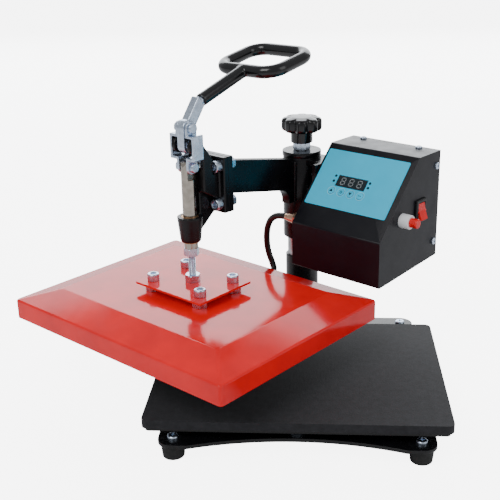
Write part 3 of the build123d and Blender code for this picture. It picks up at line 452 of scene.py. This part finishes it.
def rectangle_loop(half_x, half_y, corner, z, centre_y, steps=6):
    """Rounded rectangle at a height, anticlockwise."""
    points = []
    for side_x, side_y, start in ((1, 1, 0), (-1, 1, 90), (-1, -1, 180), (1, -1, 270)):
        for step in range(steps + 1):
            angle = math.radians(start + 90 * step / steps)
            points.append((side_x * (half_x - corner) + corner * math.cos(angle),
                           centre_y + side_y * (half_y - corner) + corner * math.sin(angle), z))
    return points


def platen_cover():
    """Pressed cover: skirt, tight fold at the rim, mitred slopes and a soft crease round the panel."""
    low, high = arm_box("platen_cover")
    half = ((high.x - low.x) / 2, (high.y - low.y) / 2)
    middle_y = (low.y + high.y) / 2
    top = high.z
    rim = top - COVER_RISE
    slope = (half[0] - COVER_PANEL[0] / 2, half[1] - COVER_PANEL[1] / 2)
    outline = [(0, low.z), (0, rim), (slope[0], top), (slope[0] * 2, top)]
    outline = rounded(outline, (COVER_FOLD_R, COVER_CREASE_R), 7)
    inner = [Vector((SHEET_T, rim - 2)), Vector((SHEET_T, low.z)), Vector((HEM, low.z))]
    loops = []
    for inset, z in inner + outline:
        inset_y = inset * slope[1] / slope[0]
        loops.append(rectangle_loop(half[0] - inset, half[1] - inset_y, COVER_CORNER_R, z, middle_y))
    mesh = loft_mesh("platen_cover_pressed", loops)
    piece = place("platen_cover_pressed", mesh, "platen", "red_paint", ARM_MM)
    flat_normals(piece)
    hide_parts("platen_cover")


THREAD_PITCH = 1.25
THREAD_DEPTH = 0.7
THREAD_ROWS = 8                 # rows of points in each turn


def threaded_stud():
    """Stud with a real helical thread and flat ends."""
    low, high = arm_box("threaded_stud")
    middle = (low + high) / 2
    radius = (high.x - low.x) / 2
    rows = round((high.z - low.z) / THREAD_PITCH * THREAD_ROWS)
    heights = [low.z + (high.z - low.z) * row / rows for row in range(rows + 1)]

    def thread(angle, reach, height):
        turn = (height / THREAD_PITCH - angle / (2 * math.pi)) % 1
        return 1 - THREAD_DEPTH / radius * min(1, 1.25 * abs(2 * turn - 1))

    profile = [(0, low.z)] + [(radius, height) for height in heights] + [(0, high.z)]
    mesh = lathe_mesh("stud_thread", profile, 32, thread)
    matrix = ARM_MM @ Matrix.Translation((middle.x, middle.y, 0))
    piece = place("stud_thread", mesh, "platen", "zinc_steel", matrix)
    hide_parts("threaded_stud")


# ---- cap screws ---------------------------------------------------------------------------------
SCREW_HEAD_R = 6.5
SCREW_SHANK_R = 4
SCREW_SOCKET = 6                # across flats
SOCKET_DEPTH = 5
KNURLS = 36
KNURL_DEPTH = 0.014             # as a share of the head's radius
PLATE_SCREW_HEAD = 8.5
FLANGE_BOLT_HEAD = 8


def screw_mesh(name, head_h, shank_l):
    """Cap screw along Z, seat at the origin: knurled head with a hexagon socket, plain shank."""
    socket_r = SCREW_SOCKET / 2
    side_r = SCREW_HEAD_R - 0.05
    shank = [(0, -shank_l), (SCREW_SHANK_R - 0.6, -shank_l), (SCREW_SHANK_R, -shank_l + 0.8),
             (SCREW_SHANK_R, 0)]
    head = [(SCREW_HEAD_R - 0.4, 0), (side_r, 0.4), (side_r, 0.5), (side_r, head_h - 1.1),
            (SCREW_HEAD_R - 0.15, head_h - 0.8), (SCREW_HEAD_R - 0.5, head_h - 0.25),
            (SCREW_HEAD_R - 1, head_h)]
    socket = [(socket_r + 0.75, head_h), (socket_r + 0.25, head_h - 0.4), (socket_r, head_h - 0.6),
              (socket_r, head_h - SOCKET_DEPTH + 0.6), (0, head_h - SOCKET_DEPTH)]

    def surface(angle, radius, height):
        if height > head_h - SOCKET_DEPTH and radius <= socket_r + 0.3:
            return 1 / math.cos((angle + math.pi / 6) % (math.pi / 3) - math.pi / 6)
        if 0.45 < height < head_h - 1:
            return 1 + KNURL_DEPTH * math.cos(KNURLS * angle)
        return 1

    return lathe_mesh(name, shank + head + socket, 144, surface)


def cap_screws(node, body, head_h, facing):
    """Detailed cap screws in place of a CAD node of four; their heads face "up" or to the "front"."""
    low, high = arm_box(node)
    columns, rows, levels = ((low[axis] + SCREW_HEAD_R, high[axis] - SCREW_HEAD_R)
                             for axis in range(3))
    if facing == "up":
        seat = high.z - head_h
        places = [(x, y, seat) for x in columns for y in rows]
        turn = Matrix.Identity(4)
        length = seat - low.z
    else:
        seat = low.y + head_h
        places = [(x, seat, z) for x in columns for z in levels]
        turn = Matrix.Rotation(math.radians(90), 4, "X")
        length = high.y - seat
    for index, spot in enumerate(places):
        spin = Matrix.Rotation(0.7 + 1.9 * index, 4, "Z")
        matrix = ARM_MM @ Matrix.Translation(spot) @ turn @ spin
        mesh = screw_mesh(f"{node}_{index}", head_h, length)
        piece = place(f"{node}_{index}", mesh, body, "zinc_steel", matrix)
        flat_normals(piece)
    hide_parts(node)


# ---- locking knob -------------------------------------------------------------------------------
KNOB_LOBES = 8
LOBE_DEPTH = 0.15               # as a share of the head's radius
KNOB_HEAD_H = 18
KNOB_HUB_R = 13


def lock_knob():
    """Star knob: lobed head with soft edges and a domed top, on its hub."""
    low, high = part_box("lock_knob")
    bottom = low[2] / MM
    top = high[2] / MM
    radius = (high[0] - low[0]) / 2 / MM
    head = top - KNOB_HEAD_H
    outline = [(0, bottom), (KNOB_HUB_R, bottom), (KNOB_HUB_R, head), (radius, head),
               (radius, top - 2.6), (radius * 0.5, top - 0.5), (0, top)]
    profile = rounded(outline, (0.8, 1.2, 4.5, 4.5, 8), 5)

    def lobes(angle, reach, height):
        if height < head - 0.5 or reach < KNOB_HUB_R + 1:
            return 1
        fade = min(1, (reach - KNOB_HUB_R - 1) / (radius - KNOB_HUB_R - 3))
        valley = (0.5 - 0.5 * math.cos(KNOB_LOBES * angle)) ** 2.2
        return 1 - LOBE_DEPTH * fade * valley

    profile = [(point[0], point[1]) for point in profile]
    profile[0] = (0, profile[0][1])
    mesh = lathe_mesh("knob", profile, 160, lobes)
    piece = place("knob", mesh, "lock_knob", "knob_plastic", POST_MM)
    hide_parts("lock_knob")


# ---- castings and grip --------------------------------------------------------------------------
def softened(name, node, body, slot, voxel, passes):
    """Copy of a CAD node with its surface rounded all over, as a casting or a dipped coat is."""
    piece = place(name, NODES[node].data.copy(), body, slot, Matrix.Identity(4))
    weld = piece.modifiers.new("weld", "WELD")
    weld.merge_threshold = MERGE
    remesh = piece.modifiers.new("remesh", "REMESH")
    remesh.mode = "VOXEL"
    remesh.voxel_size = voxel * MM
    remesh.use_smooth_shade = True
    smooth = piece.modifiers.new("smooth", "SMOOTH")
    smooth.factor = 0.5
    smooth.iterations = passes
    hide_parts(node)


# ---- welds --------------------------------------------------------------------------------------
ARM_HALF_T = 6                  # half the arm plate's thickness
SLEEVE_WELD = (136, 184)        # lowest and highest point of the beads
FLANGE_WELD = (177, 209)
FLANGE_T = 7.4                  # from the front of the end plate to its beads
BEAD_STEPS = 12


def bead_mesh(name, path, radius, closed=False):
    """Weld bead: a tube along a path with its ripples."""
    grid = bmesh.new()
    rings = []
    count = len(path)
    for index, point in enumerate(path):
        point = Vector(point)
        before = Vector(path[index - 1] if index or closed else path[0])
        after = Vector(path[(index + 1) % count] if index < count - 1 or closed else path[-1])
        along = (after - before).normalized()
        side = along.orthogonal() if abs(along.z) > 0.9 else along.cross(Vector((0, 0, 1)))
        side.normalize()
        up = along.cross(side)
        lump = radius * (1 + 0.10 * math.sin(index * 1.9) + 0.12 * noise.noise(point * 0.35))
        rings.append([grid.verts.new(point + lump * (math.cos(turn) * side + math.sin(turn) * up))
                      for turn in [2 * math.pi * step / BEAD_STEPS for step in range(BEAD_STEPS)]])
    pairs = list(zip(rings, rings[1:]))
    if closed:
        pairs.append((rings[-1], rings[0]))
    for lower, upper in pairs:
        for step in range(BEAD_STEPS):
            after = (step + 1) % BEAD_STEPS
            grid.faces.new((lower[step], lower[after], upper[after], upper[step]))
    if not closed:
        grid.faces.new(list(reversed(rings[0])))
        grid.faces.new(rings[-1])
    bmesh.ops.recalc_face_normals(grid, faces=grid.faces)
    mesh = bpy.data.meshes.new(name)
    grid.to_mesh(mesh)
    grid.free()
    return mesh


def upright(x, y, low, high):
    """Points on an upright line, at the pitch of a bead's ripples."""
    count = max(2, round((high - low) / 0.7))
    return [(x, y, low + (high - low) * step / count) for step in range(count + 1)]


def welds():
    """Beads where the arm plate meets its sleeve and end plate, and round the foot of the post."""
    sleeve_low, sleeve_high = arm_box("sleeve")
    sleeve_r = (sleeve_high.x - sleeve_low.x) / 2
    arm_low, _ = arm_box("swing_arm")
    joint_y = -math.sqrt(sleeve_r ** 2 - ARM_HALF_T ** 2)
    for side in (-1, 1):
        name = "left" if side < 0 else "right"
        path = upright(side * (ARM_HALF_T + 0.6), joint_y + 0.4, *SLEEVE_WELD)
        place(f"weld_sleeve_{name}", bead_mesh("weld", path, 2.2), "arm", "gloss_black", ARM_MM)
        path = upright(side * (ARM_HALF_T + 0.4), arm_low.y + FLANGE_T, *FLANGE_WELD)
        place(f"weld_flange_{name}", bead_mesh("weld", path, 2), "arm", "gloss_black", ARM_MM)
    low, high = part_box("post_base_tube")
    foot_r = (high[0] - low[0]) / 2 / MM + 0.6
    foot_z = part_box("base_plate")[1][2] / MM + 0.6
    ring = [(foot_r * math.cos(turn), foot_r * math.sin(turn), foot_z)
            for turn in [2 * math.pi * step / 180 for step in range(180)]]
    place("weld_post", bead_mesh("weld", ring, 2.4, True), "base", "base_paint", POST_MM)


# ---- control panel ------------------------------------------------------------------------------
KEYS = ("up", "shift", "down", "set")
KEY_OUT = 1.15                  # top of a key above the middle of the film
KEY_ROW = -15.2                 # keys below the middle of the film, along the slope
KEY_RING = (4.75, 5.5)          # inner and outer radius of the ring round a key
PRINT_T = 0.08
FILM_TOP = 0.25
WINDOW_SPAN = (-7.5, 4.5)       # lower and upper edge of the window, from the film's middle
WINDOW_RIM = 1.1


def film_matrix():
    """Frame of the panel film (X right, Y up the slope, Z out), and its middle in the arm's frame."""
    low, high = arm_box("panel_overlay")
    middle = (low + high) / 2
    back = ARM.inverted().to_3x3()
    out = back @ -Vector(JOINTS["button_up_press"]["axis"])
    up = out.cross(Vector((1, 0, 0))).normalized()
    turn = Matrix((Vector((1, 0, 0)), up, out)).transposed().to_4x4()
    return ARM_MM @ Matrix.Translation(middle) @ turn, middle


def printed(name, outlines, height, body, slot, matrix):
    """Thin raised print: flat shapes given as lists of (x, y) points, a hair thick."""
    grid = bmesh.new()
    for outline in outlines:
        lower = [grid.verts.new((x, y, height)) for x, y in outline]
        upper = [grid.verts.new((x, y, height + PRINT_T)) for x, y in outline]
        grid.faces.new(list(reversed(lower)))
        grid.faces.new(upper)
        for index in range(len(lower)):
            after = (index + 1) % len(lower)
            grid.faces.new((lower[index], lower[after], upper[after], upper[index]))
    mesh = bpy.data.meshes.new(name)
    grid.to_mesh(mesh)
    grid.free()
    piece = place(name, mesh, body, slot, matrix)
    for face in piece.data.polygons:
        face.use_smooth = False
    return piece


def ring_quads(x, y, inner, outer, steps=48):
    """Flat ring as a list of four-sided outlines."""
    quads = []
    for step in range(steps):
        first, last = (2 * math.pi * count / steps for count in (step, step + 1))
        quads.append([(x + inner * math.cos(first), y + inner * math.sin(first)),
                      (x + outer * math.cos(first), y + outer * math.sin(first)),
                      (x + outer * math.cos(last), y + outer * math.sin(last)),
                      (x + inner * math.cos(last), y + inner * math.sin(last))])
    return quads


def key_symbol(key, x, y):
    """Mark on a key: triangles for up and down, a double chevron for shift, a bar for set."""
    if key == "up":
        return [[(x - 2.2, y - 1.5), (x + 2.2, y - 1.5), (x, y + 2)]]
    if key == "down":
        return [[(x - 2.2, y + 1.5), (x, y - 2), (x + 2.2, y + 1.5)]]
    if key == "shift":
        marks = []
        for left in (x - 2.1, x + 0.1):
            marks.append([(left + 1.5, y), (left + 2.4, y), (left + 0.9, y + 1.9), (left, y + 1.9)])
            marks.append([(left, y - 1.9), (left + 0.9, y - 1.9), (left + 2.4, y), (left + 1.5, y)])
        return marks
    return [[(x - 2, y - 0.35), (x + 2, y - 0.35), (x + 2, y + 0.35), (x - 2, y + 0.35)]]


def panel_prints():
    """Light rings round the keys, the marks on the keys, and the dark border of the display."""
    matrix, middle = film_matrix()
    quads = []
    for key in KEYS:
        low, high = arm_box(f"button_{key}")
        x = (low.x + high.x) / 2 - middle.x
        quads += ring_quads(x, KEY_ROW, *KEY_RING)
        marks = key_symbol(key, x, KEY_ROW)
        printed(f"mark_{key}", marks, KEY_OUT, f"button_{key}", "print_dark", matrix)
    printed("key_rings", quads, FILM_TOP, "arm", "print_light", matrix)
    low, high = arm_box("display_window")
    left, right = low.x - middle.x, high.x - middle.x
    bottom, top = WINDOW_SPAN
    rim = WINDOW_RIM
    sides = [(left - rim, right + rim, bottom - rim, bottom),
             (left - rim, right + rim, top, top + rim),
             (left - rim, left, bottom, top),
             (right, right + rim, bottom, top)]
    border = [[(x0, y0), (x1, y0), (x1, y1), (x0, y1)] for x0, x1, y0, y1 in sides]
    printed("window_frame", border, FILM_TOP, "arm", "print_dark", matrix)


platen_cover()
threaded_stud()
cap_screws("plate_screws", "platen", PLATE_SCREW_HEAD, "up")
cap_screws("flange_bolts", "arm", FLANGE_BOLT_HEAD, "front")
lock_knob()
softened("toggle_casting", "toggle_body", "arm", "gloss_black", 0.8, 6)
softened("grip_dipped", "handle_grip", "handle", "grip_vinyl", 1.1, 6)
softened("links_stamped", "link_plates", "link", "zinc_steel", 0.5, 5)
softened("lever_stamped", "handle_lever", "handle", "zinc_steel", 0.6, 4)
welds()
panel_prints()
bevel_nodes(["mounting_plate", "box_shell", "swing_arm"], 0.6)
bevel_nodes(["base_plate", "lower_platen_plate", "box_rear_panel", "box_bracket", "rocker_bezel"], 0.5)
bevel_nodes(["silicone_pad", "rubber_feet", "power_rocker", "sleeve_cap", "sleeve", "stud_nut"], 0.7)
bevel_nodes(["stud_nuts", "standoff_nuts", "flange_nuts", "cable_gland", "platen_spacers"], 0.3)


# ---- stage --------------------------------------------------------------------------------------
def area_light(name, at, size, power, color=(1, 1, 1)):
    """Soft rectangular light, aimed at the press."""
    data = bpy.data.lights.new(name, "AREA")
    data.shape = "RECTANGLE"
    data.size, data.size_y = size
    data.energy = power
    data.color = color
    light = bpy.data.objects.new(name, data)
    light.location = at
    light.rotation_mode = "QUATERNION"
    light.rotation_quaternion = (Vector(LIGHT_AIM) - Vector(at)).to_track_quat("-Z", "Y")
    bpy.context.scene.collection.objects.link(light)


FLOOR_HALF = 30
SEEN_GLOW = 6                   # added where the eye sees the surroundings, to keep them white
SOFT_LIGHT = 0.5                # strength of the world's even light
LIGHT_AIM = (0, 0.05, 0.1)


def white_surroundings():
    """Even soft world light, seen as white."""
    world = bpy.data.worlds.new("studio")
    world.use_nodes = True
    tree = world.node_tree
    soft = tree.nodes["Background"]
    soft.inputs["Color"].default_value = (0.97, 0.98, 1, 1)
    soft.inputs["Strength"].default_value = SOFT_LIGHT
    white = tree.nodes.new("ShaderNodeBackground")
    white.inputs["Strength"].default_value = SEEN_GLOW
    seen = tree.nodes.new("ShaderNodeLightPath")
    mix = tree.nodes.new("ShaderNodeMixShader")
    tree.links.new(seen.outputs["Is Camera Ray"], mix.inputs["Fac"])
    tree.links.new(soft.outputs["Background"], mix.inputs[1])
    tree.links.new(white.outputs["Background"], mix.inputs[2])
    tree.links.new(mix.outputs["Shader"], tree.nodes["World Output"].inputs["Surface"])
    bpy.context.scene.world = world


def floor_material():
    """Pale floor, lifted to white where the camera sees it; the light it gives back is plain."""
    material, tree, shader = new_material("floor_pale", (0.82, 0.82, 0.83), 0.6)
    spread(tree, noise_node(tree, 3, 2), 0.55, 0.65, shader.inputs["Roughness"])
    glow = tree.nodes.new("ShaderNodeEmission")
    glow.inputs["Strength"].default_value = SEEN_GLOW
    seen = tree.nodes.new("ShaderNodeLightPath")
    both = tree.nodes.new("ShaderNodeAddShader")
    mix = tree.nodes.new("ShaderNodeMixShader")
    tree.links.new(shader.outputs["BSDF"], both.inputs[0])
    tree.links.new(glow.outputs["Emission"], both.inputs[1])
    tree.links.new(seen.outputs["Is Camera Ray"], mix.inputs["Fac"])
    tree.links.new(shader.outputs["BSDF"], mix.inputs[1])
    tree.links.new(both.outputs["Shader"], mix.inputs[2])
    tree.links.new(mix.outputs["Shader"], tree.nodes["Material Output"].inputs["Surface"])
    return material


def make_stage():
    """Pale floor, white surroundings and soft lights."""
    floor_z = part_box("rubber_feet")[0][2]
    mesh = bpy.data.meshes.new("floor")
    grid = bmesh.new()
    bmesh.ops.create_grid(grid, x_segments=1, y_segments=1, size=FLOOR_HALF)
    grid.to_mesh(mesh)
    grid.free()
    floor = bpy.data.objects.new("floor", mesh)
    floor.location.z = floor_z
    bpy.context.scene.collection.objects.link(floor)
    mesh.materials.append(floor_material())
    white_surroundings()
    area_light("key", (-0.9, -1.1, 1.7), (1.1, 1.1), 20)
    area_light("fill", (1.6, -0.6, 1.1), (1.0, 1.4), 7)
    area_light("back", (0.0, 2.6, 1.35), (4.2, 2.0), 105, (0.94, 0.97, 1))


make_stage()
